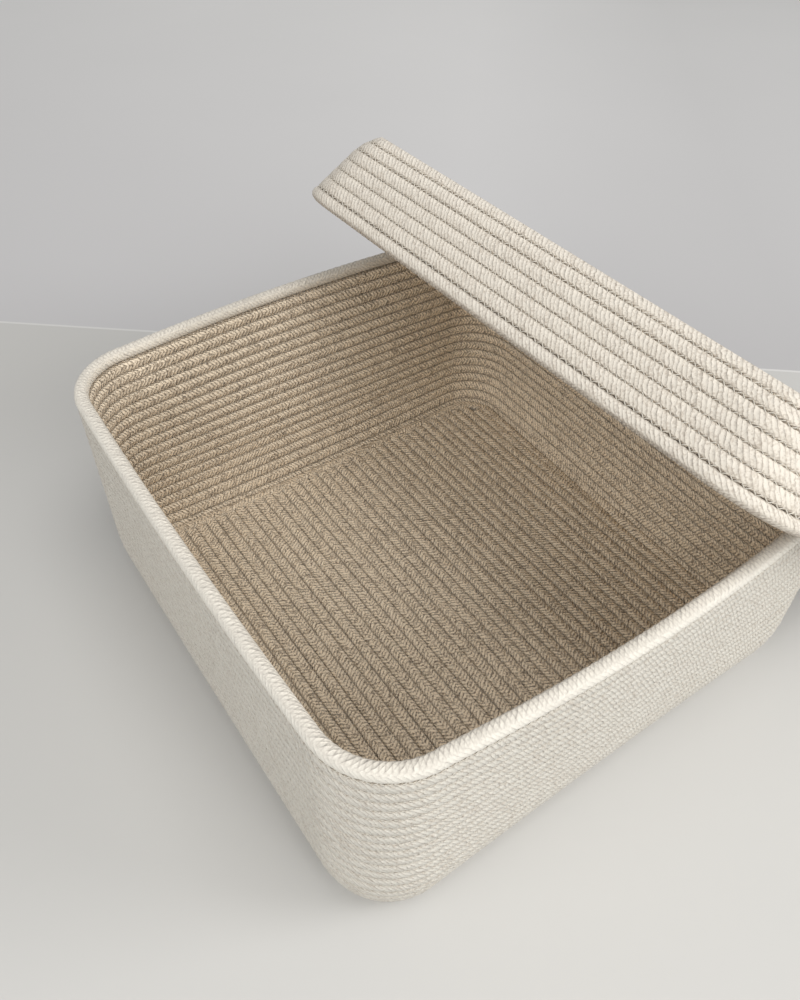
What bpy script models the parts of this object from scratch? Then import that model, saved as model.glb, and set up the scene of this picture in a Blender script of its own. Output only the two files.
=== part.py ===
"""Square lidded storage basket for knitting, coiled from sewn cotton cord.

The basket and its lid are each one long cotton cord. The cord is folded back
and forth into a flat ribbed panel, then laid round the panel's edge in
courses that climb into a wall. Thread, which is not modelled here, sews each
row to the next. The lid is the same tray, shallower and a little wider, and
it leans on the basket's back wall with its far side on the floor.

Metres, +Z up. The origin is on the floor under the middle of the basket. The
wall that carries the lid is the +X one.
"""
from dataclasses import dataclass
from math import cos, pi, radians, sin

import bmesh
import bpy
import numpy as np
from mathutils import Matrix, Vector

MM = 0.001

# The cord and the sewing
CORD_DIAMETER = 6.0 * MM
SEWN_GAP = 0.6 * MM
ROW_FLAT_WIDTH = 3.0 * MM
ROW_GROOVE_DEPTH = 1.1 * MM
PIECE_CLEARANCE = 0.3 * MM
LEAST_ALLOWED_GAP = 0.4 * MM

# The basket, its half sizes measured to the middle of the rim's cord
BASKET_HEIGHT = 120.0 * MM
BASKET_HALF_X = 126.0 * MM
BASKET_HALF_Y = 125.0 * MM
BASKET_COURSES = 20
RIM_CORNER_RADIUS = 29.5 * MM
RIM_BOW_X = 1.5 * MM
RIM_BOW_Y = 5.3 * MM
FOOT_BOW_Y = -1.9 * MM
FOOT_BEND_RADIUS = 68.0 * MM
FOOT_LEAN = radians(26.0)

# The lid, which slips over the basket's rim
LID_HEIGHT = 38.6 * MM
LID_COURSES = 7
LID_CLEARANCE = 4.5 * MM
LID_CORNER_RADIUS = 30.0 * MM
LID_EDGE_RADIUS = 28.2 * MM
LID_LEAN = radians(45.4)
LID_FLARE = radians(18.9)

# How the lid leans on the wall: its slope, its turn in its own plane, and its
# shift along the wall
LEAN_SLOPE = radians(36.15)
LEAN_TURN = radians(4.2)
LEAN_SHIFT = 4.2 * MM

# One loop has five points on each corner and one in the middle of each side.
# A tube has four sides and two more for each step of its bevel.
CORNER_STEPS = 4
TUBE_BEVEL_RESOLUTION = 1
TUBE_SIDES = 4 + 2 * TUBE_BEVEL_RESOLUTION
TAPER_STEP_SHARES = (0.25, 0.5, 0.75)
TAPER_MARGIN_SHARE = 0.12
GAP_SAMPLES_PER_POINT = 6
GAP_APART_DIAMETERS = 4

COTTON_COLOUR = (0.74, 0.68, 0.58, 1.0)
LID_COTTON_COLOUR = (0.76, 0.72, 0.64, 1.0)
COTTON_ROUGHNESS = 0.92

CORD_RADIUS = CORD_DIAMETER / 2
TUBE_RADIUS = (CORD_DIAMETER - SEWN_GAP) / 2


@dataclass(frozen=True)
class Tray:
    """Sizes of one coiled tray, with its panel at z = 0 and its mouth up.

    The wall leans out by `lean` at the panel and by `flare` at the mouth.
    """

    height: float
    half_x: float
    half_y: float
    courses: int
    rim_corner: float
    foot_bow_y: float
    rim_bow_x: float
    rim_bow_y: float
    bend_radius: float
    lean: float
    flare: float

    @property
    def last_level(self):
        """The level of the rim's course, where the first course is 0."""
        return self.courses - 1

    @property
    def wall_length(self):
        """Length of the wall's profile, from the first cord to the rim's."""
        return self.arc_length + self.straight_length

    @property
    def arc_length(self):
        """Length of the stretch that turns from the lean to the flare."""
        return self.bend_radius * (self.lean - self.flare)

    @property
    def straight_length(self):
        """Length of the stretch that goes on at the flare up to the rim."""
        arc_height = self.bend_radius * (sin(self.lean) - sin(self.flare))
        return (self.height - CORD_DIAMETER - arc_height) / cos(self.flare)


def basket_tray():
    """The basket: walls that lean out at the foot and then stand upright."""
    return Tray(height=BASKET_HEIGHT, half_x=BASKET_HALF_X, half_y=BASKET_HALF_Y,
                courses=BASKET_COURSES, rim_corner=RIM_CORNER_RADIUS,
                foot_bow_y=FOOT_BOW_Y, rim_bow_x=RIM_BOW_X, rim_bow_y=RIM_BOW_Y,
                bend_radius=FOOT_BEND_RADIUS, lean=FOOT_LEAN, flare=0.0)


def lid_tray():
    """The lid, at its mouth one cord and a clearance wider than the rim."""
    grow = CORD_DIAMETER + LID_CLEARANCE
    return Tray(height=LID_HEIGHT, half_x=BASKET_HALF_X + grow,
                half_y=BASKET_HALF_Y + grow, courses=LID_COURSES,
                rim_corner=LID_CORNER_RADIUS, foot_bow_y=RIM_BOW_Y,
                rim_bow_x=RIM_BOW_X, rim_bow_y=RIM_BOW_Y,
                bend_radius=LID_EDGE_RADIUS, lean=LID_LEAN, flare=LID_FLARE)


def profile(tray, level):
    """Inset from the rim's line and height of the cord's middle at a level.

    The wall's section is an arc that starts at the tray's lean and turns
    to its flare, then a straight. Beyond either end it goes on straight.
    """
    run = tray.wall_length * level / tray.last_level
    on_arc = min(max(run, 0.0), tray.arc_length)
    lean_here = tray.lean - on_arc / tray.bend_radius
    before = min(run, 0.0)
    after = max(run - tray.arc_length, 0.0)
    arc_inset = tray.bend_radius * (cos(tray.flare) - cos(lean_here))
    arc_height = tray.bend_radius * (sin(tray.lean) - sin(lean_here))
    straight_inset = (tray.straight_length - after) * sin(tray.flare)
    inset = arc_inset + straight_inset - before * sin(tray.lean)
    height = arc_height + after * cos(tray.flare) + before * cos(tray.lean)
    return inset, CORD_RADIUS + height


@dataclass(frozen=True)
class Plan:
    """Half sizes, corner radius and bows of one course, and its height."""

    half_x: float
    half_y: float
    corner: float
    bow_x: float
    bow_y: float
    height: float


def course_plan(tray, level, shrink=0.0):
    """The plan of a course, or of a line the given distance inside it."""
    inset, height = profile(tray, level)
    rise_share = level / tray.last_level
    return Plan(half_x=tray.half_x - inset - shrink,
                half_y=tray.half_y - inset - shrink,
                corner=tray.rim_corner - inset - shrink,
                bow_x=tray.rim_bow_x * rise_share,
                bow_y=tray.foot_bow_y
                + (tray.rim_bow_y - tray.foot_bow_y) * rise_share,
                height=height)


def loop_points(plan):
    """One turn round the plan, starting where the +X side ends."""
    signs = ((1, 1), (-1, 1), (-1, -1), (1, -1))
    side_middles = ((0.0, plan.half_y + plan.bow_y),
                    (-plan.half_x - plan.bow_x, 0.0),
                    (0.0, -plan.half_y - plan.bow_y),
                    (plan.half_x + plan.bow_x, 0.0))
    points = []
    for quarter, (sign_x, sign_y) in enumerate(signs):
        centre_x = sign_x * (plan.half_x - plan.corner)
        centre_y = sign_y * (plan.half_y - plan.corner)
        for step in range(CORNER_STEPS + 1):
            turn = (quarter + step / CORNER_STEPS) * pi / 2
            points.append(Vector((centre_x + plan.corner * cos(turn),
                                  centre_y + plan.corner * sin(turn),
                                  plan.height)))
        points.append(Vector((*side_middles[quarter], plan.height)))
    return points


def climbing_side_point(tray, share, level):
    """A point on the +X side, where the cord climbs to its next course."""
    plan = course_plan(tray, level)
    reach = plan.half_y - plan.corner
    bow = plan.bow_x * (1 - abs(2 * share - 1))
    return Vector((plan.half_x + bow, reach * (2 * share - 1), plan.height))


def taper_point(tray, share, radius_share, level, direction):
    """A point on a tapered end, flush with the wall's edge, and its radius."""
    row_pitch = tray.wall_length / tray.last_level
    sunk = TUBE_RADIUS * (1 - radius_share) / row_pitch
    return climbing_side_point(tray, share, level + direction * sunk), radius_share


def coil_route(tray):
    """The wall's cord as points and radius shares, from panel to rim.

    Each course is level round three sides and climbs to the next one along
    the +X side. The cord tapers in under its first climb, and out over its
    last, so the foot and the rim are both level.
    """
    route = []
    for share in TAPER_STEP_SHARES:
        route.append(taper_point(tray, share, share - TAPER_MARGIN_SHARE, 0, -1))
    for course in range(tray.courses):
        loop = loop_points(course_plan(tray, course))
        route.extend((point, 1.0) for point in loop[:-1])
        if course < tray.last_level:
            route.append((climbing_side_point(tray, 1 / 2, course + 1 / 2), 1.0))
    for share in TAPER_STEP_SHARES:
        route.append(taper_point(tray, share, 1 - share - TAPER_MARGIN_SHARE,
                                 tray.last_level, 1))
    return route


def least_self_gap(route):
    """Least space between the cord and itself, on points along its middle.

    Points less than a few diameters apart along the cord are left out,
    because there the cord is its own neighbour.
    """
    middle = np.array([tuple(point) for point, _ in route])
    radius = np.array([share * TUBE_RADIUS for _, share in route])
    at = np.arange((len(route) - 1) * GAP_SAMPLES_PER_POINT) / GAP_SAMPLES_PER_POINT
    knots = np.arange(len(route))
    samples = np.stack([np.interp(at, knots, middle[:, axis]) for axis in range(3)], 1)
    radii = np.interp(at, knots, radius)
    along = np.concatenate(([0.0], np.cumsum(np.linalg.norm(np.diff(samples, axis=0),
                                                            axis=1))))
    least = np.inf
    for index in range(len(samples)):
        far = along - along[index] > GAP_APART_DIAMETERS * CORD_DIAMETER
        if far.any():
            distance = np.linalg.norm(samples[far] - samples[index], axis=1)
            least = min(least, float((distance - radii[far] - radii[index]).min()))
    return least


def cotton(name, colour):
    """Matt cotton of the given colour."""
    material = bpy.data.materials.new(name)
    material.use_nodes = True
    shader = material.node_tree.nodes["Principled BSDF"]
    shader.inputs["Base Color"].default_value = colour
    shader.inputs["Roughness"].default_value = COTTON_ROUGHNESS
    shader.inputs["Metallic"].default_value = 0.0
    return material


def place(name, data, material, parent):
    """Put a mesh or curve in the scene as a named object."""
    piece = bpy.data.objects.new(name, data)
    piece.data.materials.append(material)
    piece.parent = parent
    bpy.context.scene.collection.objects.link(piece)
    return piece


def wall_coil(name, tray, material, parent=None):
    """The wall: one unbroken tube wound in courses from the panel up."""
    route = coil_route(tray)
    gap = least_self_gap(route)
    print(f"{name}: least gap to itself {gap / MM:.2f} mm")
    if gap < LEAST_ALLOWED_GAP:
        print(f"{name}: the courses are closer than {LEAST_ALLOWED_GAP / MM:.2f} mm")
    curve = bpy.data.curves.new(name, "CURVE")
    curve.dimensions = "3D"
    curve.twist_mode = "Z_UP"
    curve.bevel_depth = TUBE_RADIUS
    curve.bevel_resolution = TUBE_BEVEL_RESOLUTION
    curve.use_fill_caps = True
    spline = curve.splines.new("POLY")
    spline.points.add(len(route) - 1)
    for knot, (point, radius_share) in zip(spline.points, route):
        knot.co = (*point, 1.0)
        knot.radius = radius_share
        knot.tilt = pi / TUBE_SIDES
    spline.use_smooth = True
    return place(name, curve, material, parent)


def row_profile(half_width, rows):
    """Across the folded rows: x and groove depth for each profile point.

    Each row has a flat crest between two shoulders, with a sewn groove on
    both sides.
    """
    pitch = 2 * half_width / rows
    crest = pitch * ROW_FLAT_WIDTH / CORD_DIAMETER
    points = [(-half_width, ROW_GROOVE_DEPTH)]
    for row in range(rows):
        middle = -half_width + (row + 1 / 2) * pitch
        points.append((middle - crest / 2, 0.0))
        points.append((middle + crest / 2, 0.0))
        points.append((-half_width + (row + 1) * pitch, ROW_GROOVE_DEPTH))
    return points


def row_ends(reach, groove):
    """Along one row: y and depth, from one end of the sheet to the other.

    The first turn of cord round the rows lies flat, so a course crosses both
    ends of every row, with a sewn groove on both sides.
    """
    crest_in = (CORD_DIAMETER - ROW_FLAT_WIDTH) / 2
    end = ((reach, ROW_GROOVE_DEPTH), (reach - crest_in, 0.0),
           (reach - CORD_DIAMETER + crest_in, 0.0),
           (reach - CORD_DIAMETER, ROW_GROOVE_DEPTH),
           (reach - CORD_DIAMETER - crest_in, groove))
    return [(-y, depth) for y, depth in end] + list(end[::-1])


def reach_along_rows(plan, x):
    """How far a row at x runs before it meets the line of the plan."""
    loop = loop_points(plan)
    upper = sorted((point.x, point.y) for point in loop if point.y > 0)
    return float(np.interp(x, [p[0] for p in upper], [p[1] for p in upper]))


def folded_panel(name, tray, material, parent=None):
    """The flat panel: a cord folded back and forth into rows along Y.

    The rows and the flat turn round them are sewn into one sheet, ribbed on
    both faces.
    """
    edge = course_plan(tray, 0, shrink=TUBE_RADIUS + PIECE_CLEARANCE)
    rows = round(2 * edge.half_x / CORD_DIAMETER)
    section = row_profile(edge.half_x, rows)
    sheet = bmesh.new()
    rings = []
    for x, groove in section:
        line = row_ends(reach_along_rows(edge, x), groove)
        outline = line + [(y, CORD_DIAMETER - depth) for y, depth in line[::-1]]
        rings.append([sheet.verts.new((x, y, z)) for y, z in outline])
    for here, there in zip(rings, rings[1:]):
        for side in range(len(here)):
            ahead = (side + 1) % len(here)
            sheet.faces.new((here[side], here[ahead], there[ahead], there[side]))
    sheet.faces.new(rings[0][::-1])
    sheet.faces.new(rings[-1])
    bmesh.ops.recalc_face_normals(sheet, faces=sheet.faces)
    mesh = bpy.data.meshes.new(name)
    sheet.to_mesh(mesh)
    sheet.free()
    return place(name, mesh, material, parent)


def lean_matrix(basket, lid):
    """Where the lid lies: its panel on the +X rim, its far side on the floor.

    The lid's own axes are x towards its far side, z from its panel to its
    mouth, and y along the rim. The two contacts keep the same clearance.
    """
    up_slope = Vector((sin(LEAN_SLOPE), 0.0, cos(LEAN_SLOPE)))
    down_slope = Vector((cos(LEAN_SLOPE), 0.0, -sin(LEAN_SLOPE)))
    along_rim = Vector((0.0, 1.0, 0.0))
    lid_x = cos(LEAN_TURN) * down_slope + sin(LEAN_TURN) * along_rim
    lid_y = sin(LEAN_TURN) * down_slope - cos(LEAN_TURN) * along_rim
    lid_z = -up_slope
    turn = Matrix((lid_x, lid_y, lid_z)).transposed()

    rim_reach = max(point.dot(up_slope) + share * TUBE_RADIUS
                    for point, share in coil_route(basket))
    off_plane = rim_reach + PIECE_CLEARANCE + CORD_DIAMETER
    lowest = min((turn @ point).z - share * TUBE_RADIUS
                 for point, share in coil_route(lid))
    height = PIECE_CLEARANCE - lowest
    slide = (height - off_plane * up_slope.z) / down_slope.z
    origin = off_plane * up_slope + slide * down_slope + LEAN_SHIFT * along_rim
    return Matrix.Translation(origin) @ turn.to_4x4()


def main():
    for old in list(bpy.data.objects):
        bpy.data.objects.remove(old, do_unlink=True)
    basket = basket_tray()
    lid = lid_tray()
    basket_cotton = cotton("basket_cotton", COTTON_COLOUR)
    lid_cotton = cotton("lid_cotton", LID_COTTON_COLOUR)

    folded_panel("base_panel", basket, basket_cotton)
    wall_coil("wall_coil", basket, basket_cotton)

    lid_frame = bpy.data.objects.new("lid_frame", None)
    bpy.context.scene.collection.objects.link(lid_frame)
    lid_frame.matrix_world = lean_matrix(basket, lid)
    folded_panel("lid_panel", lid, lid_cotton, lid_frame)
    wall_coil("lid_coil", lid, lid_cotton, lid_frame)


main()
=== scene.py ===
import math
from dataclasses import dataclass

import bpy
import numpy as np
from mathutils import Matrix, Vector


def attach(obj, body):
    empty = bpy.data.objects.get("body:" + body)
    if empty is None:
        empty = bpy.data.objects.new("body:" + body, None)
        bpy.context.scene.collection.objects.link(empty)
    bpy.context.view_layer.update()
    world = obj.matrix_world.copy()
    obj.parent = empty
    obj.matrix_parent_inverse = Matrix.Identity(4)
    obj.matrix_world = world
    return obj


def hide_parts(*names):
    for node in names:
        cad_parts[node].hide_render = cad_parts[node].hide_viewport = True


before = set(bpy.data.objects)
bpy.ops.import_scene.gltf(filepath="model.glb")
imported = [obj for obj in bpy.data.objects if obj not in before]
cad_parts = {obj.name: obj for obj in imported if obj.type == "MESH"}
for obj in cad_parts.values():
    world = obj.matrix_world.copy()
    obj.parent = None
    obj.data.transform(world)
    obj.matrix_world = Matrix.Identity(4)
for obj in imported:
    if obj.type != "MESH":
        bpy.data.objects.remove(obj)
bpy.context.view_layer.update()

MM = 0.001

# The trays, as the frame has them
CORD = 6.0 * MM
CORD_RADIUS = CORD / 2
BASKET_HEIGHT = 120.0 * MM
BASKET_HALF = (126.0 * MM, 125.0 * MM)
BASKET_COURSES = 20
FLAT_COURSES = 1
RIM_CORNER = 29.5 * MM
RIM_BOW = (1.5 * MM, 5.3 * MM)
FOOT_BOW = (0.0, -1.9 * MM)
FOOT_BEND = 68.0 * MM
FOOT_LEAN = math.radians(26.0)
LID_HEIGHT = 38.6 * MM
LID_COURSES = 7
LID_GROW = CORD + 4.5 * MM
LID_CORNER = 30.0 * MM
LID_BEND = 28.2 * MM
LID_LEAN = math.radians(45.4)
LID_FLARE = math.radians(18.9)

# How the lid leans: down towards +X, and turned a little on its own face
LEAN_SLOPE = math.radians(36.15)
LEAN_TURN = math.radians(4.2)

# The last of a course's turns, from 0: on this side it climbs to the next
CLIMB = 7

# The points along the paths, before they are resampled
CORNER_STEPS = 24
SIDE_STEPS = 64
ROW_POINTS = 40
HALF_TURN_POINTS = 14

# A cord's free end tapers to this share of its radius, by this power
TAPER_LEAST = 0.02
TAPER_POWER = 0.6

# How far the panel's rows and its sides reach under the first course
ROW_TUCK = 2.0 * MM
SIDE_TUCK = 0.6 * MM

# The plait of the cord: two columns of slanted strands round it
PLAIT = 4.0 * MM
PLAIT_COLUMNS = 2
PLAIT_TURN = 0.75
RINGS_PER_PLAIT = 3
CORD_SIDES = 12
STRAND_SLANT = 1.2
STRAND_ENDS = 0.6
YARNS_PER_STRAND = 2
RELIEF = 0.08
RELIEF_MIDDLE = 0.75

# The cord's section: half its thickness and width, and how round it is
CORD_THICK = 2.95 * MM
CORD_WIDE = 3.17 * MM
CORD_FLAT = 0.42

# The rim's cord is free above, so it is rounder and thicker. It changes to
# that over its first points, and takes less of the inside's painted bounce
# light and painted shade.
RIM_WIDE = 3.0 * MM
RIM_FLAT = 0.8
RIM_SWELL = 1.07
RIM_PALE = 0.75
RIM_RAMP_POINTS = 30

# The sewing: a zigzag over each seam
STITCH_STEP = 2.0 * MM
STITCH_REACH = 0.75 * MM
STITCH_LIFT = 2.5 * MM
THREAD_RADIUS = 0.26 * MM
THREAD_SIDES = 3
STITCH_SHARES = np.array([0.0, 0.2, 0.8, 1.0])
STITCH_DIP = np.array([-0.6, 0.05, 0.05, -0.6]) * MM


@dataclass(frozen=True)
class Tray:
    """Sizes of one coiled tray, with its panel at z = 0 and its mouth up.

    The flat courses lie round the panel, before the wall's first course. The
    wall leans out by lean at its foot and by flare at the mouth.
    """

    height: float
    half: tuple
    courses: int
    flat: int
    corner: float
    foot_bow: tuple
    rim_bow: tuple
    bend: float
    lean: float
    flare: float

    @property
    def last(self):
        return self.courses - 1

    @property
    def wall(self):
        """Length of the wall's section, from the first cord to the rim's."""
        return self.arc + self.straight

    @property
    def arc(self):
        return self.bend * (self.lean - self.flare)

    @property
    def straight(self):
        arc_height = self.bend * (math.sin(self.lean) - math.sin(self.flare))
        return (self.height - CORD - arc_height) / math.cos(self.flare)

    @property
    def pitch(self):
        return self.wall / self.last


BASKET = Tray(height=BASKET_HEIGHT, half=BASKET_HALF, courses=BASKET_COURSES,
              flat=FLAT_COURSES, corner=RIM_CORNER, foot_bow=FOOT_BOW,
              rim_bow=RIM_BOW, bend=FOOT_BEND, lean=FOOT_LEAN, flare=0.0)
LID = Tray(height=LID_HEIGHT, half=tuple(h + LID_GROW for h in BASKET_HALF),
           courses=LID_COURSES, flat=FLAT_COURSES, corner=LID_CORNER,
           foot_bow=(0.0, RIM_BOW[1]), rim_bow=RIM_BOW, bend=LID_BEND,
           lean=LID_LEAN, flare=LID_FLARE)


# The paths


def unit(rows):
    """Each row of an array divided by its own length."""
    return rows / np.maximum(np.linalg.norm(rows, axis=-1, keepdims=True), 1e-12)


def smooth(share):
    """A share from 0 to 1 that starts and ends level."""
    return share * share * (3 - 2 * share)


def section(tray, level):
    """Inset, height and lean of the wall at each level: an arc, then straight.

    The levels below 0 lie flat, inside the wall's foot.
    """
    run = tray.wall * level / tray.last
    left = tray.lean - np.clip(run, 0, tray.arc) / tray.bend
    before, after = np.minimum(run, 0), np.maximum(run - tray.arc, 0)
    inset = (tray.bend * (math.cos(tray.flare) - np.cos(left))
             + (tray.straight - after) * math.sin(tray.flare) - before)
    height = (CORD_RADIUS + tray.bend * (math.sin(tray.lean) - np.sin(left))
              + after * math.cos(tray.flare))
    to_flat = (math.pi / 2 - tray.lean) * np.clip(-level, 0, 1)
    return inset, height, left + to_flat


def round_tray(tray, turn, level):
    """Points of the wall at turns (0 to 8) and levels, and the way up it there.

    Even turns are the four corner arcs, counted from +X+Y and anticlockwise.
    Odd turns are the sides after them, each bowed out by a parabola. The way
    up leans out from the upright by the section's own angle.
    """
    inset, height, lean = section(tray, level)
    rise = np.clip(level / tray.last, 0, 1)
    half_x, half_y = tray.half[0] - inset, tray.half[1] - inset
    corner = tray.corner - inset
    bow_x = tray.foot_bow[0] + (tray.rim_bow[0] - tray.foot_bow[0]) * rise
    bow_y = tray.foot_bow[1] + (tray.rim_bow[1] - tray.foot_bow[1]) * rise
    part = np.minimum(np.floor(turn), CLIMB).astype(int)
    share = turn - part
    quarter = part // 2
    sign_x = np.choose(quarter, (1, -1, -1, 1))
    sign_y = np.choose(quarter, (1, 1, -1, -1))
    centre_x, centre_y = sign_x * (half_x - corner), sign_y * (half_y - corner)
    on_side = part % 2 == 1
    angle = (quarter + np.where(on_side, 1.0, share)) * math.pi / 2
    out_x, out_y = np.cos(angle), np.sin(angle)
    even = quarter % 2 == 0
    along = np.where(even, 2 * (half_x - corner), 2 * (half_y - corner))
    bow = np.where(even, bow_y, bow_x) * (1 - (2 * share - 1) ** 2)
    x = centre_x + corner * out_x + on_side * (-out_y * along * share + bow * out_x)
    y = centre_y + corner * out_y + on_side * (out_x * along * share + bow * out_y)
    up = np.stack([out_x * np.sin(lean), out_y * np.sin(lean), np.cos(lean)], -1)
    return np.stack([x, y, height], -1), up


def course_turns():
    """The turns of a course: its level part, and the side on which it climbs."""
    corner = np.linspace(0, 1, CORNER_STEPS + 1)[:-1]
    side = np.linspace(0, 1, SIDE_STEPS + 1)[:-1]
    parts = [part + (side if part % 2 else corner) for part in range(CLIMB)]
    return np.concatenate(parts), side


def coil(tray, first, last):
    """Points, ways up and radius shares along the wall's cord.

    A course is level round three sides and climbs one level along the fourth,
    by a smooth step. The cord tapers in before the tray's first course, and
    out over its last when last is the rim's course.
    """
    level_part, side = course_turns()
    turns, levels, sizes = [], [], []
    sunk = CORD_RADIUS / tray.pitch
    if first == -tray.flat:
        turns.append(CLIMB + side)
        levels.append(first - (1 - side) * sunk)
        sizes.append(np.maximum(side ** TAPER_POWER, TAPER_LEAST))
    for course in range(first, last + 1):
        turns += [level_part, CLIMB + side]
        levels.append(np.full(len(level_part), float(course)))
        sizes.append(np.ones(len(level_part)))
        if course < tray.last:
            levels.append(course + smooth(side))
            sizes.append(np.ones(len(side)))
        else:
            levels.append(course + side * sunk)
            sizes.append(np.maximum((1 - side) ** TAPER_POWER, TAPER_LEAST))
    points, ups = round_tray(tray, np.concatenate(turns), np.concatenate(levels))
    return points, ups, np.concatenate(sizes)


def seams(tray):
    """The line between each course and the next, as one climbing path.

    It ends half a level under the last course, where that starts to climb.
    """
    level_part, side = course_turns()
    turns, levels = [], []
    for course in range(-tray.flat, tray.last):
        turns += [level_part, CLIMB + side]
        levels += [np.full(len(level_part), course + 0.5), course + 0.5 + smooth(side)]
    turns, levels = np.concatenate(turns), np.concatenate(levels)
    keep = levels < tray.last - 0.499
    points, ups = round_tray(tray, turns, levels)
    return points[keep], ups[keep]


def panel_edge(tray, x):
    """How far the panel's rows reach at x, inside the first course's line.

    In the corners, x stays just short of the side, where the arc is upright.
    """
    inset, _, _ = section(tray, np.array(-float(tray.flat)))
    shrink = float(inset) + CORD_RADIUS
    corner = tray.corner - shrink
    half_x, half_y = tray.half[0] - shrink, tray.half[1] - shrink
    past = np.clip(np.abs(x) - (half_x - corner), 0, corner * 0.999)
    bow = tray.foot_bow[1] * (1 - (x / (half_x - corner)) ** 2).clip(0)
    return half_y - corner + np.sqrt(corner ** 2 - past ** 2) + bow + ROW_TUCK


def panel_rows(tray):
    """Number of rows in the panel, and their pitch."""
    inset, _, _ = section(tray, np.array(-float(tray.flat)))
    half_x = tray.half[0] - float(inset) - CORD_RADIUS + SIDE_TUCK
    rows = round(2 * half_x / CORD)
    return rows, 2 * half_x / rows


def folded(tray):
    """The panel's cord: straight rows joined by slanted half turns."""
    rows, pitch = panel_rows(tray)
    points = []
    for row in range(rows):
        x = (row - (rows - 1) / 2) * pitch
        way = 1 if row % 2 == 0 else -1
        here = way * (float(panel_edge(tray, np.array(x))) - pitch / 2)
        there = way * (float(panel_edge(tray, np.array(x + pitch))) - pitch / 2)
        y = np.linspace(-here, here, ROW_POINTS)
        points.append(np.stack([np.full(ROW_POINTS, x), y], 1))
        if row < rows - 1:
            turn = np.linspace(0, math.pi, HALF_TURN_POINTS)[1:-1]
            across = (1 - np.cos(turn)) / 2
            y = here + (there - here) * across + way * pitch / 2 * np.sin(turn)
            points.append(np.stack([x + pitch * across, y], 1))
    flat = np.concatenate(points)
    return np.concatenate([flat, np.full((len(flat), 1), CORD_RADIUS)], 1)


def panel_seams(tray):
    """The lines between the panel's rows, to and fro as one path."""
    rows, pitch = panel_rows(tray)
    lines = []
    for row in range(rows - 1):
        x = (row + 1 - rows / 2) * pitch
        reach = float(panel_edge(tray, np.array(x))) - pitch
        y = np.arange(-reach, reach, STITCH_STEP) * (1 if row % 2 == 0 else -1)
        lines.append(np.stack([np.full(len(y), x), y, np.full(len(y), CORD_RADIUS)], 1))
    return np.concatenate(lines)


def across_panel(path):
    """The way up of a path in the panel: level, and square to the path."""
    return np.cross(np.array([0.0, 0.0, 1.0]), unit(np.gradient(path, axis=0)))


def resampled(points, step, *others):
    """The path and its other values at even steps, and the length at each."""
    steps = np.linalg.norm(np.diff(points, axis=0), axis=1)
    length = np.concatenate([[0], np.cumsum(steps)])
    count = int(length[-1] / step) + 1
    at = np.arange(count) * step
    values = [np.stack([np.interp(at, length, v[:, i]) for i in range(v.shape[1])], 1)
              if v.ndim == 2 else np.interp(at, length, v) for v in (points, *others)]
    return (*values, at)


def axes_along(points, ups):
    """The outward and upward axes, square to the path, at each of its points."""
    ahead = unit(np.gradient(points, axis=0))
    out = unit(np.cross(ahead, ups))
    return out, np.cross(out, ahead)


# The meshes


def quad_mesh(name, co, faces, inside):
    """A linked object of smooth four-sided faces.

    inside holds a value for each point, 1 where it faces into the tray, where the
    materials paint warm bounce light and deeper shade.
    """
    mesh = bpy.data.meshes.new(name)
    mesh.vertices.add(co.size // 3)
    mesh.vertices.foreach_set("co", co.astype(np.float32).ravel())
    count = faces.size // 4
    mesh.loops.add(count * 4)
    mesh.loops.foreach_set("vertex_index", faces.astype(np.int32).ravel())
    mesh.polygons.add(count)
    starts = np.arange(0, count * 4, 4, dtype=np.int32)
    mesh.polygons.foreach_set("loop_start", starts)
    mesh.polygons.foreach_set("use_smooth", np.ones(count, dtype=bool))
    shade = mesh.attributes.new("inside", "FLOAT", "POINT")
    shade.data.foreach_set("value", inside.astype(np.float32).ravel())
    piece = bpy.data.objects.new(name, mesh)
    bpy.context.scene.collection.objects.link(piece)
    return piece


def strand_height(u, v):
    """Height of the plait's strands, 0 to 1, at lengths u and columns v.

    Each column holds slanted strands that lean away from its middle on both
    sides, half a step apart. A strand is a half sine across, and dips at its
    ends.
    """
    column = v - np.floor(v)
    away = np.abs(column - 0.5) * 2
    phase = u + STRAND_SLANT * away + 0.5 * (column > 0.5)
    across = np.sin(math.pi * (phase - np.floor(phase)))
    return across * (STRAND_ENDS + (1 - STRAND_ENDS) * np.sin(math.pi * away))


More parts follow.
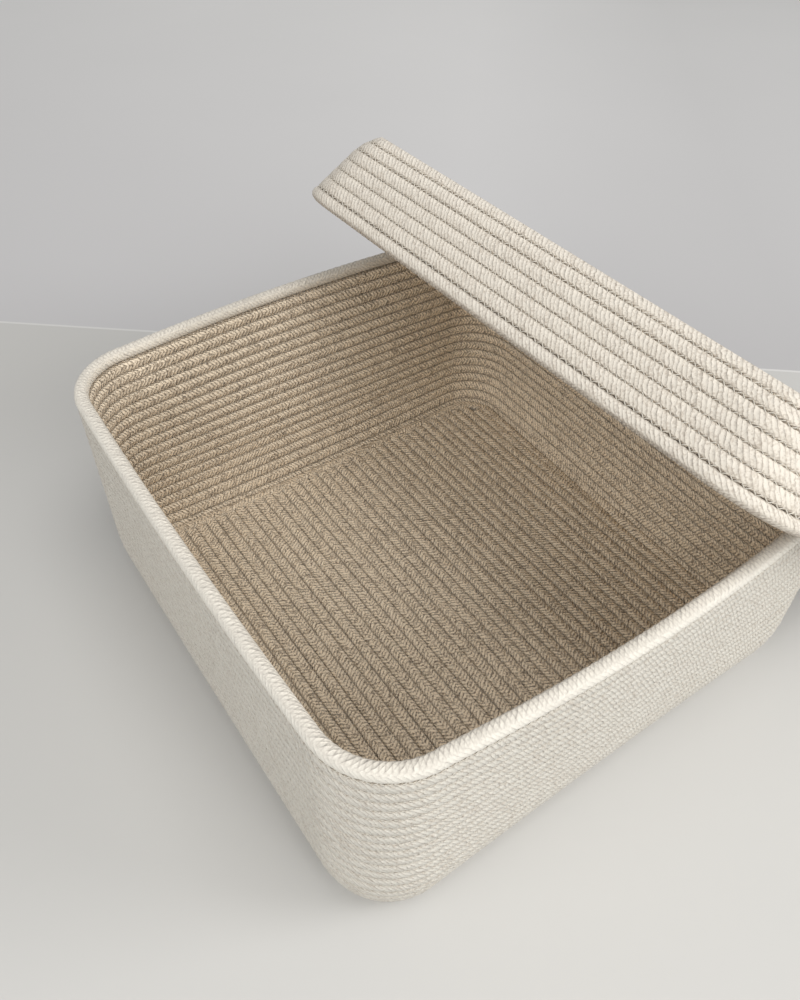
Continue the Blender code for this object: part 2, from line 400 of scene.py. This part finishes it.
def cord_mesh(name, points, ups, sizes, inside_way, rim, place, from_length):
    """A plaited cord swept along a path, with a rounded square section.

    At each point the section stands across the path: its thickness along the
    outward normal and its width along the way up. The strands' height swells
    it in and out. inside_way says which side faces into the tray, and rim
    where the cord is free at the mouth, so rounder and thicker. The cord map
    holds the length along the cord in plaits, and the column round it.
    """
    step = PLAIT / RINGS_PER_PLAIT
    points, ups, sizes, rim, at = resampled(points, step, ups, sizes, rim)
    out, up = axes_along(points, ups)
    angle = np.arange(CORD_SIDES) / CORD_SIDES * 2 * math.pi
    cos, sin = np.cos(angle), np.sin(angle)
    power = (CORD_FLAT + (RIM_FLAT - CORD_FLAT) * rim)[:, None]
    flat_x = np.sign(cos) * np.abs(cos) ** power * CORD_THICK
    flat_x = flat_x * (1 + (RIM_SWELL - 1) * rim)[:, None]
    wide = (CORD_WIDE + (RIM_WIDE - CORD_WIDE) * rim)[:, None]
    flat_y = np.sign(sin) * np.abs(sin) ** power * wide
    u = (from_length + at) / PLAIT
    v = np.arange(CORD_SIDES + 1) / CORD_SIDES * PLAIT_COLUMNS + PLAIT_TURN
    height = 1 + RELIEF * (strand_height(u[:, None], v[None, :-1]) - RELIEF_MIDDLE)
    size = (sizes[:, None] * height)[..., None]
    co = (points[:, None] + size * flat_x[..., None] * out[:, None]
          + size * flat_y[..., None] * up[:, None])
    if place is not None:
        co = place(co)
    # inside: 1 on the side facing into the tray, where the materials paint warm bounce
    # light and deeper shade; less on the rim
    inside = (0.5 + 0.5 * cos * inside_way)[None] * (1 - RIM_PALE * rim)[:, None]
    start = np.arange(len(points) - 1)[:, None] * CORD_SIDES
    here = np.arange(CORD_SIDES)[None, :]
    beside = (here + 1) % CORD_SIDES
    faces = np.stack([start + here, start + beside, start + CORD_SIDES + beside,
                      start + CORD_SIDES + here], -1)
    piece = quad_mesh(name, co, faces, inside)
    u_corners = np.stack([u[:-1], u[:-1], u[1:], u[1:]], -1)[:, None]
    v_corners = np.stack([v[:-1], v[1:], v[1:], v[:-1]], -1)[None]
    uv = np.stack(np.broadcast_arrays(u_corners, v_corners), -1)
    layer = piece.data.uv_layers.new(name="cord")
    layer.data.foreach_set("uv", uv.astype(np.float32).ravel())
    piece.data.update(calc_edges=True)
    return piece


def stitch_mesh(name, points, ups, lift, inside_value, place):
    """Zigzag thread over a seam: short bars that dip into the cord at both ends.

    A bar runs from one side of the seam to the other while it goes one step
    along. lift is how far the thread lies out from the seam's middle.
    """
    points, ups, _ = resampled(points, STITCH_STEP, ups)
    out, up = axes_along(points, ups)
    side = np.where(np.arange(len(points)) % 2 == 0, -1.0, 1.0)[:, None]
    dip = np.sign(lift) * STITCH_DIP
    ends = points + side * STITCH_REACH * up + lift * out
    share = STITCH_SHARES[None, :, None]
    line = (ends[:-1, None] * (1 - share) + ends[1:, None] * share
            + dip[None, :, None] * out[:-1, None])
    across = np.cross(out[:-1], unit(ends[1:] - ends[:-1]))
    angle = np.arange(THREAD_SIDES) / THREAD_SIDES * 2 * math.pi + math.pi / 2
    ring = (np.cos(angle)[None, :, None] * across[:, None]
            + np.sin(angle)[None, :, None] * out[:-1, None]) * THREAD_RADIUS
    co = line[:, :, None] + ring[:, None]
    if place is not None:
        co = place(co)
    bars, rings, sides = co.shape[:3]
    bar = np.arange(bars)[:, None, None] * rings * sides
    start = bar + np.arange(rings - 1)[None, :, None] * sides
    here = np.arange(sides)[None, None, :]
    beside = (here + 1) % sides
    faces = np.stack([start + here, start + beside, start + sides + beside,
                      start + sides + here], -1)
    piece = quad_mesh(name, co, faces, np.full(bars * rings * sides, inside_value))
    piece.data.update(calc_edges=True)
    return piece


# The materials

# The plait's drift along the cord and its slow twist round it, from noise
JITTER_SCALE = 350.0
JITTER = 0.42
TWIST_SCALE = 22.0
TWIST = 0.6
INNER_TURN = 0.25

# How deep the hollows between yarns are, for the bump and their painted shade, and how
# much yarns differ in tone
OUTER_YARN = 0.7
RIM_YARN = 0.35
INNER_YARN = 1.0
YARN_CHANCE = 0.5
YARN_POWER = 0.5
STRAND_SHARE = 0.4
STRAND_POWER = 0.4

# Painted shade along each seam's groove, darker at the needle's holes
GROOVE_DARK = 0.25
HOLE_DARK = 0.75
GROOVE_GAIN = 2.5
GROOVE_POWER = 6.0
HOLE_POWER = 2.0

# The grain of the fibres, and broad blotches over many courses
OUTER_FIBRE = 3.0
INNER_FIBRE = 4.2
GRAIN_MIDDLE = 0.465
FIBRE_SCALE = 1150.0
BLOTCH_SCALE = 60.0
BLOTCH_SPREAD = 0.16
BLOTCH_LEAST = 0.92
DEPTH_POWER = 0.5

# The bumps of strands and of fibres, less strong on the outside
OUTER_RELIEF = 0.55
STRAND_BUMP = 0.7 * MM
FIBRE_BUMP = 0.32 * MM
THREAD_BUMP = 0.1 * MM
THREAD_BUMP_STRENGTH = 0.5
THREAD_FIBRE_SCALE = 1800.0

# The cotton's surface
CORD_ROUGHNESS = 0.95
THREAD_ROUGHNESS = 0.85
CORD_SPECULAR = 0.2
CORD_SHEEN = 0.15

# The cotton's colours. OUTER is the cord's own; the others paint light and
# shade on it: lighter on the rim and lid, warm bounce light inside the tray,
# and painted shade in the hollows. The thread is painted darker inside.
OUTER = (0.63, 0.603, 0.54)
# The rim painted lighter than the rest of the outside, for the light on it
RIM_PAINTED_LIGHT = (0.74, 0.705, 0.63)
# The lid's outside painted lighter than the basket's, for the light on its face
LID_PAINTED_LIGHT = (0.71, 0.655, 0.57)
# Painted warm, bright bounce light for the tray's inside, on the same cotton
INNER_PAINTED_BOUNCE = (0.98, 0.838, 0.645)
# Painted shade in the hollows between yarns: outside, rim and inside
OUTER_HOLLOW_SHADE = (0.42, 0.355, 0.285)
RIM_HOLLOW_SHADE = (0.64, 0.595, 0.525)
INNER_HOLLOW_SHADE = (0.11, 0.068, 0.038)
THREAD_OUTER = (0.64, 0.60, 0.525)
# The thread painted darker and browner inside the tray, for shade
THREAD_PAINTED_SHADE = (0.5, 0.41, 0.30)


class Shader:
    """A material's nodes, with short calls for the sums that it needs."""

    def __init__(self, name):
        self.material = bpy.data.materials.new(name)
        self.material.use_nodes = True
        self.tree = self.material.node_tree
        self.main = self.tree.nodes["Principled BSDF"]

    def node(self, kind, **values):
        made = self.tree.nodes.new(kind)
        for key, value in values.items():
            setattr(made, key, value)
        return made

    def put(self, socket, value):
        if isinstance(value, bpy.types.NodeSocket):
            self.tree.links.new(value, socket)
        else:
            socket.default_value = value

    def math(self, operation, first, second=0.0, third=0.0):
        made = self.node("ShaderNodeMath", operation=operation)
        for socket, value in zip(made.inputs, (first, second, third)):
            self.put(socket, value)
        return made.outputs[0]

    def times(self, first, second):
        return self.math("MULTIPLY", first, second)

    def times_plus(self, first, second, third):
        return self.math("MULTIPLY_ADD", first, second, third)

    def less(self, first, second):
        return self.math("SUBTRACT", first, second)

    def half_sine(self, turns):
        """A sine that rises and falls once in each whole turn."""
        return self.math("SINE", self.times(self.math("FRACT", turns), math.pi))

    def mix(self, share, first, second):
        made = self.node("ShaderNodeMix", data_type="RGBA")
        self.put(made.inputs[0], share)
        self.put(made.inputs[6], first)
        self.put(made.inputs[7], second)
        return made.outputs[2]

    def noise(self, vector, scale, detail):
        made = self.node("ShaderNodeTexNoise")
        self.put(made.inputs["Vector"], vector)
        self.put(made.inputs["Scale"], scale)
        self.put(made.inputs["Detail"], detail)
        return made.outputs[0]

    def dot(self, vector, other):
        made = self.node("ShaderNodeVectorMath", operation="DOT_PRODUCT")
        self.put(made.inputs[0], vector)
        self.put(made.inputs[1], other)
        return made.outputs["Value"]

    def bump(self, height, distance, strength=1.0, normal=None):
        made = self.node("ShaderNodeBump")
        self.put(made.inputs["Strength"], strength)
        self.put(made.inputs["Distance"], distance)
        self.put(made.inputs["Height"], height)
        if normal is not None:
            self.put(made.inputs["Normal"], normal)
        return made.outputs[0]

    def position(self):
        return self.node("ShaderNodeTexCoord").outputs["Object"]

    def inside(self):
        return self.node("ShaderNodeAttribute", attribute_name="inside").outputs["Fac"]


def opaque(colour):
    return (*colour, 1)


def cotton(name, outer, inner_bounce, outer_shade, inner_shade, outer_yarn, inner_turn):
    """Plaited cotton: strands from the cord's own lengths and columns.

    A strand's phase is worked out as in strand_height and jittered by noise.
    Each strand is split into yarns, which differ a little in tone. Their
    height drives the bump and blends the painted shade of the hollows between
    them into the light colour. Fine noise stands for fibres.
    """
    s = Shader(name)
    uv = s.node("ShaderNodeUVMap", uv_map="cord").outputs[0]
    parts = s.node("ShaderNodeSeparateXYZ")
    s.put(parts.inputs[0], uv)
    u, v = parts.outputs[0], parts.outputs[1]
    position, inside = s.position(), s.inside()

    # Strands and their yarns
    drift = s.less(s.noise(position, JITTER_SCALE, 1.0), 0.5)
    twist = s.less(s.noise(position, TWIST_SCALE, 1.0), 0.5)
    turned = s.times_plus(inside, inner_turn, s.times_plus(twist, TWIST, v))
    column = s.math("FRACT", turned)
    away = s.times(s.math("ABSOLUTE", s.less(column, 0.5)), 2.0)
    right = s.times(s.math("GREATER_THAN", column, 0.5), 0.5)
    phase = s.math("ADD", s.times_plus(away, STRAND_SLANT, u), right)
    phase = s.times_plus(drift, JITTER, phase)
    strand = s.math("POWER", s.half_sine(phase), STRAND_POWER)
    ends = s.times_plus(s.math("SINE", s.times(away, math.pi)), 1 - STRAND_ENDS,
                        STRAND_ENDS)
    yarns = s.times(phase, float(YARNS_PER_STRAND))
    hollow = s.less(1.0, s.math("POWER", s.half_sine(yarns), YARN_POWER))
    hollow = s.times(s.times_plus(inside, INNER_YARN - outer_yarn, outer_yarn), hollow)
    height = s.times(s.times_plus(strand, STRAND_SHARE, 1 - STRAND_SHARE), ends)
    height = s.times(height, s.less(1.0, hollow))
    which = s.node("ShaderNodeCombineXYZ")
    s.put(which.inputs[0], s.math("FLOOR", yarns))
    s.put(which.inputs[1], s.math("FLOOR", s.times(turned, 2.0)))
    chance = s.node("ShaderNodeTexWhiteNoise", noise_dimensions="2D")
    s.put(chance.inputs["Vector"], which.outputs[0])

    # Painted shade along the seams' grooves, at the middles of the cord's two
    # flanks, darker at the needle's holes
    round_it = s.times(s.less(v, PLAIT_TURN), 2 * math.pi / PLAIT_COLUMNS)
    groove = s.math("POWER", s.math("ABSOLUTE", s.math("SINE", round_it)), GROOVE_POWER)
    groove = s.math("MINIMUM", s.times(groove, GROOVE_GAIN), 1.0)
    holes = s.math("SINE", s.times(u, 2 * math.pi * PLAIT / STITCH_STEP))
    holes = s.math("POWER", s.math("MAXIMUM", holes, 0.0), HOLE_POWER)
    groove = s.times(groove, s.times_plus(holes, HOLE_DARK, GROOVE_DARK))

    # The tone: painted shade from the depth of the hollows and seams, and yarns,
    # blotches and fibres that differ at random
    fibre = s.noise(position, FIBRE_SCALE, 2.0)
    blotch = s.noise(position, BLOTCH_SCALE, 2.0)
    depth = s.times(s.math("POWER", height, DEPTH_POWER), s.less(1.0, groove))
    depth = s.times(depth, s.times_plus(chance.outputs[0], YARN_CHANCE,
                                        1.0 - YARN_CHANCE / 2))
    depth = s.times(depth, s.times_plus(blotch, BLOTCH_SPREAD, BLOTCH_LEAST))
    grain = s.times_plus(inside, INNER_FIBRE - OUTER_FIBRE, OUTER_FIBRE)
    depth = s.times(depth, s.times_plus(s.less(fibre, GRAIN_MIDDLE), grain, 1.0))
    # The light colour: the cord's own outside, painted with warm bounce light inside
    light = s.mix(inside, opaque(outer), opaque(inner_bounce))
    # The dark colour: painted shade in the hollows and seams
    dark = s.mix(inside, opaque(outer_shade), opaque(inner_shade))
    s.put(s.main.inputs["Base Color"], s.mix(depth, dark, light))

    # The relief
    raised = s.times_plus(inside, 1.0 - OUTER_RELIEF, OUTER_RELIEF)
    relief = s.bump(s.times(height, raised), STRAND_BUMP)
    fuzz = s.bump(s.times(fibre, raised), FIBRE_BUMP, normal=relief)
    s.put(s.main.inputs["Normal"], fuzz)
    s.put(s.main.inputs["Roughness"], CORD_ROUGHNESS)
    s.put(s.main.inputs["Specular IOR Level"], CORD_SPECULAR)
    s.put(s.main.inputs["Sheen Weight"], CORD_SHEEN)
    return s.material


def thread_cotton(name):
    """Sewing thread: near the cord's colour, painted darker inside the tray for shade,
    with fine noise in its relief.
    """
    s = Shader(name)
    base = s.mix(s.inside(), opaque(THREAD_OUTER), opaque(THREAD_PAINTED_SHADE))
    s.put(s.main.inputs["Base Color"], base)
    fibre = s.noise(s.position(), THREAD_FIBRE_SCALE, 2.0)
    s.put(s.main.inputs["Normal"], s.bump(fibre, THREAD_BUMP, THREAD_BUMP_STRENGTH))
    s.put(s.main.inputs["Roughness"], THREAD_ROUGHNESS)
    return s.material


# The pieces

LID_UP = np.array([math.sin(LEAN_SLOPE), 0.0, math.cos(LEAN_SLOPE)])
LID_DOWN = np.array([math.cos(LEAN_SLOPE), 0.0, -math.sin(LEAN_SLOPE)])
ALONG_RIM = np.array([0.0, 1.0, 0.0])
LID_AXES = np.stack([math.cos(LEAN_TURN) * LID_DOWN + math.sin(LEAN_TURN) * ALONG_RIM,
                     math.sin(LEAN_TURN) * LID_DOWN - math.cos(LEAN_TURN) * ALONG_RIM,
                     -LID_UP])


def lid_origin():
    """The lid's own origin: the middle of its panel's outer face in the frame."""
    panel = bpy.data.objects["lid_panel"]
    corners = np.empty(len(panel.data.vertices) * 3)
    panel.data.vertices.foreach_get("co", corners)
    turn = np.array(panel.matrix_world)
    corners = corners.reshape(-1, 3) @ turn[:3, :3].T + turn[:3, 3]
    own = corners @ LID_AXES.T
    low, high = own.min(axis=0), own.max(axis=0)
    middle = np.array([(low[0] + high[0]) / 2, (low[1] + high[1]) / 2, low[2]])
    return middle @ LID_AXES


LID_ORIGIN = lid_origin()


def lean_lid(co):
    """Points of the lid, from its own axes to where it leans."""
    return co @ LID_AXES + LID_ORIGIN


def add(piece, body, slot_name, material, *nodes):
    """Give a piece its material and body, and hide the nodes it stands for."""
    piece.data.materials.append(material)
    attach(piece, body)
    if nodes:
        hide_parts(*nodes)


def tray_pieces(prefix, tray, body, slot_name, cord, thread, splits, nodes, place=None):
    """Every cord and thread piece of one tray.

    cord holds the cotton of the courses below the mouth and of the mouth's
    own; the basket's mouth has a copy painted lighter, for its light.
    splits holds the first and last course of each piece of the wall, and nodes
    the panel's node and the wall's.
    """
    length = 0.0
    for index, (first, last) in enumerate(splits):
        points, ups, sizes = coil(tray, first, last)
        if last < tray.last:
            next_points, next_ups, _ = coil(tray, last + 1, last + 1)
            points = np.concatenate([points, next_points[:1]])
            ups = np.concatenate([ups, next_ups[:1]])
            sizes = np.concatenate([sizes, [1.0]])
        rim = np.zeros(len(points))
        if first == tray.last:
            rim = smooth(np.clip(np.arange(len(points)) / RIM_RAMP_POINTS, 0, 1))
        piece = cord_mesh(f"{prefix}_wall_cord_{index + 1}", points, ups, sizes, -1,
                          rim, place, length)
        add(piece, body, slot_name, cord[first == tray.last], nodes[1])
        swept = np.linalg.norm(np.diff(points, axis=0), axis=1).sum()
        length += round(swept / PLAIT) * PLAIT
    points, ups = seams(tray)
    for side, value, name in ((1, 0.0, "outside"), (-1, 1.0, "inside")):
        piece = stitch_mesh(f"{prefix}_wall_thread_{name}", points, ups,
                            side * STITCH_LIFT, value, place)
        add(piece, body, slot_name, thread)
    path = folded(tray)
    piece = cord_mesh(f"{prefix}_panel_cord", path, across_panel(path),
                      np.ones(len(path)), 1, np.zeros(len(path)), place, 0.0)
    add(piece, body, slot_name, cord[0], nodes[0])
    path = panel_seams(tray)
    for side, value, name in ((1, 1.0, "inside"), (-1, 0.0, "outside")):
        piece = stitch_mesh(f"{prefix}_panel_thread_{name}", path, across_panel(path),
                            side * STITCH_LIFT, value, place)
        add(piece, body, slot_name, thread)


basket_cotton = cotton("basket_cord_cotton", OUTER, INNER_PAINTED_BOUNCE, OUTER_HOLLOW_SHADE, INNER_HOLLOW_SHADE,
                       OUTER_YARN, INNER_TURN)
# The rim's copy of the cotton: painted lighter, with less painted shade in its hollows
rim_cotton = cotton("rim_cord_cotton", RIM_PAINTED_LIGHT, INNER_PAINTED_BOUNCE, RIM_HOLLOW_SHADE, INNER_HOLLOW_SHADE,
                    RIM_YARN, 0.0)
# The lid's copy of the cotton, painted lighter outside
lid_cotton = cotton("lid_cord_cotton", LID_PAINTED_LIGHT, INNER_PAINTED_BOUNCE, OUTER_HOLLOW_SHADE, INNER_HOLLOW_SHADE,
                    OUTER_YARN, INNER_TURN)
basket_thread = thread_cotton("basket_thread_cotton")
lid_thread = thread_cotton("lid_thread_cotton")

tray_pieces("basket", BASKET, "basket", "basket_cotton", (basket_cotton, rim_cotton),
            basket_thread, ((-1, 8), (9, 18), (19, 19)), ("base_panel", "wall_coil"))
tray_pieces("lid", LID, "lid", "lid_cotton", (lid_cotton, lid_cotton),
            lid_thread, ((-1, 5), (6, 6)), ("lid_panel", "lid_coil"), place=lean_lid)

# The stage: a floor whose tone changes at a straight line, which runs square
# to BACK_NORMAL, BACK_LINE away from the origin

FLOOR_HALF = 6.0
BACK_NORMAL = (0.643, 0.766)
BACK_LINE = 218.3 * MM
LINE_HALF = 1.0 * MM
BACK_SIDE = 0.25
BACK_SHADE = 0.14
BACK_GAIN = 1.2
FLOOR_TONE = (0.573, 0.564, 0.541)
LINE_PAINTED_HIGHLIGHT = (0.68, 0.67, 0.65)
BACK_NEAR = (0.57, 0.56, 0.56)
BACK_FAR = (0.95, 0.94, 0.925)
BLACK = (0.0, 0.0, 0.0)
FLOOR_BLOTCH_SCALE = 5.0
FLOOR_BLOTCH_SHARE = 0.08
FLOOR_BLOTCH = (0.4, 0.4, 0.4)
FLOOR_ROUGHNESS = 0.9
FLOOR_SPECULAR = 0.1


def floor_paint():
    """The table's matt white up to a straight line, and a cooler grey past it.

    The distance past the line is the point's place along the line's normal
    less the line's own. A narrow pale band along the line is a painted
    highlight on the table's edge. The grey pales slowly with distance and
    darkens along the line to one side.
    """
    s = Shader("floor_paint")
    position = s.position()
    past = s.less(s.dot(position, (*BACK_NORMAL, 0.0)), BACK_LINE)
    far = s.math("MINIMUM", s.times(s.math("MAXIMUM", past, 0.0), BACK_GAIN), 1.0)
    along = s.dot(position, (BACK_NORMAL[1], -BACK_NORMAL[0], 0.0))
    right = s.math("MINIMUM", s.math("MAXIMUM", along, 0.0), BACK_SIDE)
    grey = s.mix(far, opaque(BACK_NEAR), opaque(BACK_FAR))
    grey = s.mix(s.times(right, BACK_SHADE / BACK_SIDE), grey, opaque(BLACK))
    base = s.mix(s.math("GREATER_THAN", past, 0.0), opaque(FLOOR_TONE), grey)
    # Painted highlight along the table's edge
    band = s.math("LESS_THAN", s.math("ABSOLUTE", past), LINE_HALF)
    base = s.mix(band, base, opaque(LINE_PAINTED_HIGHLIGHT))
    blotch = s.noise(position, FLOOR_BLOTCH_SCALE, 3.0)
    tone = s.mix(s.times(blotch, FLOOR_BLOTCH_SHARE), base, opaque(FLOOR_BLOTCH))
    s.put(s.main.inputs["Base Color"], tone)
    s.put(s.main.inputs["Roughness"], FLOOR_ROUGHNESS)
    s.put(s.main.inputs["Specular IOR Level"], FLOOR_SPECULAR)
    return s.material


def floor_plane(half, material):
    """The floor: one square at z = 0."""
    mesh = bpy.data.meshes.new("floor")
    corners = [(-half, -half, 0.0), (half, -half, 0.0), (half, half, 0.0),
               (-half, half, 0.0)]
    mesh.from_pydata(corners, [], [(0, 1, 2, 3)])
    piece = bpy.data.objects.new("floor", mesh)
    bpy.context.scene.collection.objects.link(piece)
    piece.data.materials.append(material)


floor_plane(FLOOR_HALF, floor_paint())

# The light

LAMP_TARGET = (0.0, 0.0, 0.05)
ROOM_STRENGTH = 0.335


def lamp(name, place, size, power):
    """A round white area lamp that looks at the basket. power is in watts."""
    light = bpy.data.lights.new(name, "AREA")
    light.shape = "DISK"
    light.size = size
    light.energy = power
    item = bpy.data.objects.new(name, light)
    bpy.context.scene.collection.objects.link(item)
    item.location = place
    way = Vector(LAMP_TARGET) - Vector(place)
    item.rotation_euler = way.to_track_quat("-Z", "Y").to_euler()


lamp("right", (1.0, -0.9, 0.8), size=0.7, power=9.0)
lamp("front", (-0.2, -1.3, 1.0), size=0.9, power=8.4)
lamp("left", (-1.2, -0.5, 0.9), size=0.7, power=5.5)
lamp("high_left", (-1.1, 0.0, 1.2), size=0.8, power=3.0)
lamp("over", (0.1, -0.5, 1.6), size=0.8, power=7.5)

world = bpy.data.worlds.new("soft_room")
world.use_nodes = True
background = world.node_tree.nodes["Background"]
background.inputs[0].default_value = (1.0, 1.0, 1.0, 1.0)
background.inputs[1].default_value = ROOM_STRENGTH
bpy.context.scene.world = world

# The camera, which looks at AIM

PHOTO_HEIGHT_PX = 1000.0
FOCAL_PX = 852.255
SENSOR_HEIGHT = 36.0
AZIMUTH = math.radians(-35.753)
ELEVATION = math.radians(45.272)
ROLL = math.radians(1.075)
DISTANCE = 414.809 * MM
AIM = np.array([-12.062, 17.942, 60.0]) * MM


def photo_camera():
    """A camera at the photo's place: it looks at AIM from the angles above."""
    back = np.array([math.sin(AZIMUTH) * math.cos(ELEVATION),
                     -math.cos(AZIMUTH) * math.cos(ELEVATION), math.sin(ELEVATION)])
    right = unit(np.cross(-back, [0.0, 0.0, 1.0]))
    up = np.cross(right, -back)
    turned_right = right * math.cos(ROLL) + up * math.sin(ROLL)
    turned_up = -right * math.sin(ROLL) + up * math.cos(ROLL)
    data = bpy.data.cameras.new("camera")
    data.sensor_fit = "VERTICAL"
    data.sensor_height = SENSOR_HEIGHT
    data.lens = FOCAL_PX * SENSOR_HEIGHT / PHOTO_HEIGHT_PX
    data.clip_start = 0.01
    camera = bpy.data.objects.new("camera", data)
    bpy.context.scene.collection.objects.link(camera)
    place = AIM + back * DISTANCE
    turn = Matrix(np.stack([turned_right, turned_up, back], 1).tolist()).to_4x4()
    camera.matrix_world = Matrix.Translation(place.tolist()) @ turn
    bpy.context.scene.camera = camera


photo_camera()
bpy.context.scene.view_settings.view_transform = "Standard"

bpy.context.view_layer.update()
